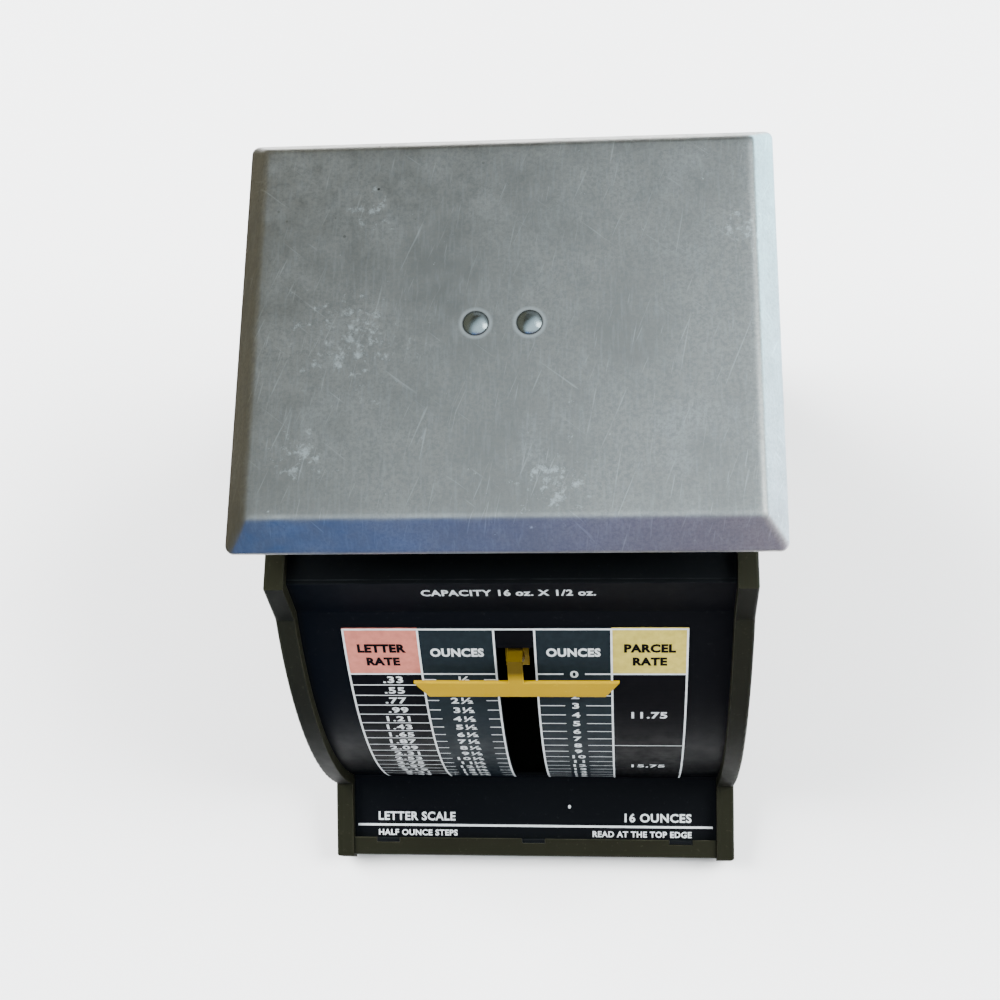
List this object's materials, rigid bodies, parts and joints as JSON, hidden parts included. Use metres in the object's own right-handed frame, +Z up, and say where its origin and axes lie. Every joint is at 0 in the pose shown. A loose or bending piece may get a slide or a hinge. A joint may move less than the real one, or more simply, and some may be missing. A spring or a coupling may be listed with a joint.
{
  "type": "spring letter scale",
  "caption": "Desk letter scale: a bevelled weighing platform above a case with a curved rate dial, a sloping foot and a T-shaped pointer on a sprung lever with a check link.",
  "frame": {"origin": "middle of the overall box on the surface that the feet stand on", "axes": "+X to the right of the reader, +Y to the rear, +Z up"},
  "size_m": [0.108, 0.1412, 0.1179],
  "materials": {
    "case_olive": "semi-gloss dark olive enamel",
    "case_black": "satin near-black enamel",
    "platform_metal": "matte grey enamel, worn",
    "printed_dial": "satin print",
    "pointer_yellow": "satin yellow paint",
    "rivet_aluminium": "dull",
    "zinc_steel": "zinc plated",
    "bright_steel": "drawn",
    "brass": "turned",
    "rubber": "matte"
  },
  "bodies": {
    "root": {"side_panel_left": "case_olive", "side_panel_right": "case_olive", "dial_panel": "case_black", "top_cover": "case_black", "rear_cover": "case_black", "base_pan": "case_olive", "rubber_feet": "rubber", "rate_chart": "printed_dial", "rear_cover_screws": "zinc_steel", "mechanism_frame": "zinc_steel", "frame_screws": "zinc_steel", "main_shaft": "bright_steel", "check_shaft": "bright_steel", "shaft_clips": "bright_steel", "overload_stop": "rubber", "adjuster_bridge": "zinc_steel", "bridge_screws": "zinc_steel"},
    "lever": {"main_lever": "zinc_steel", "pointer": "pointer_yellow", "pointer_screw": "brass", "lever_pin": "bright_steel", "lever_pin_clips": "bright_steel", "extension_spring": "bright_steel"},
    "link": {"check_link": "zinc_steel", "link_pin": "bright_steel", "link_pin_clips": "bright_steel"},
    "platform_group": {"platform": "platform_metal", "platform_rivets": "rivet_aluminium", "platform_bracket": "zinc_steel"},
    "zero_wheel": {"zero_adjust_wheel": "brass"},
    "hanger": {"spring_hanger": "brass"}
  },
  "joints": [
    {"name": "lever_pivot", "type": "hinge", "parent": "root", "child": "lever", "pos_m": [0, 0.05, 0.015], "axis": [1, 0, 0], "range_deg": [0, 32.64], "stiffness_Nm_per_rad": 0.136, "springref_deg": -14.9, "deforming": ["extension_spring"]},
    {"name": "link_pivot", "type": "hinge", "parent": "root", "child": "link", "pos_m": [0, 0.05, 0.063], "axis": [1, 0, 0], "range_deg": [0, 32.64]},
    {"name": "platform_level", "type": "hinge", "parent": "lever", "child": "platform_group", "pos_m": [0, 0.03272, 0.02006], "axis": [1, 0, 0], "range_deg": [-32.64, 0]},
    {"name": "zero_wheel_spin", "type": "hinge", "parent": "root", "child": "zero_wheel", "pos_m": [0, 0.01239, 0.097], "axis": [0, 0, 1], "range_deg": [-540, 540]},
    {"name": "hanger_slide", "type": "slide", "parent": "root", "child": "hanger", "axis": [0, 0, 1], "range_m": [-0.00076, 0.00076]}
  ],
  "couplings": [
    {"joint": "link_pivot", "follows": "lever_pivot", "ratio": 1},
    {"joint": "platform_level", "follows": "lever_pivot", "ratio": -1},
    {"joint": "hanger_slide", "follows": "zero_wheel_spin", "m_per_rad": 0.0000796}
  ]
}
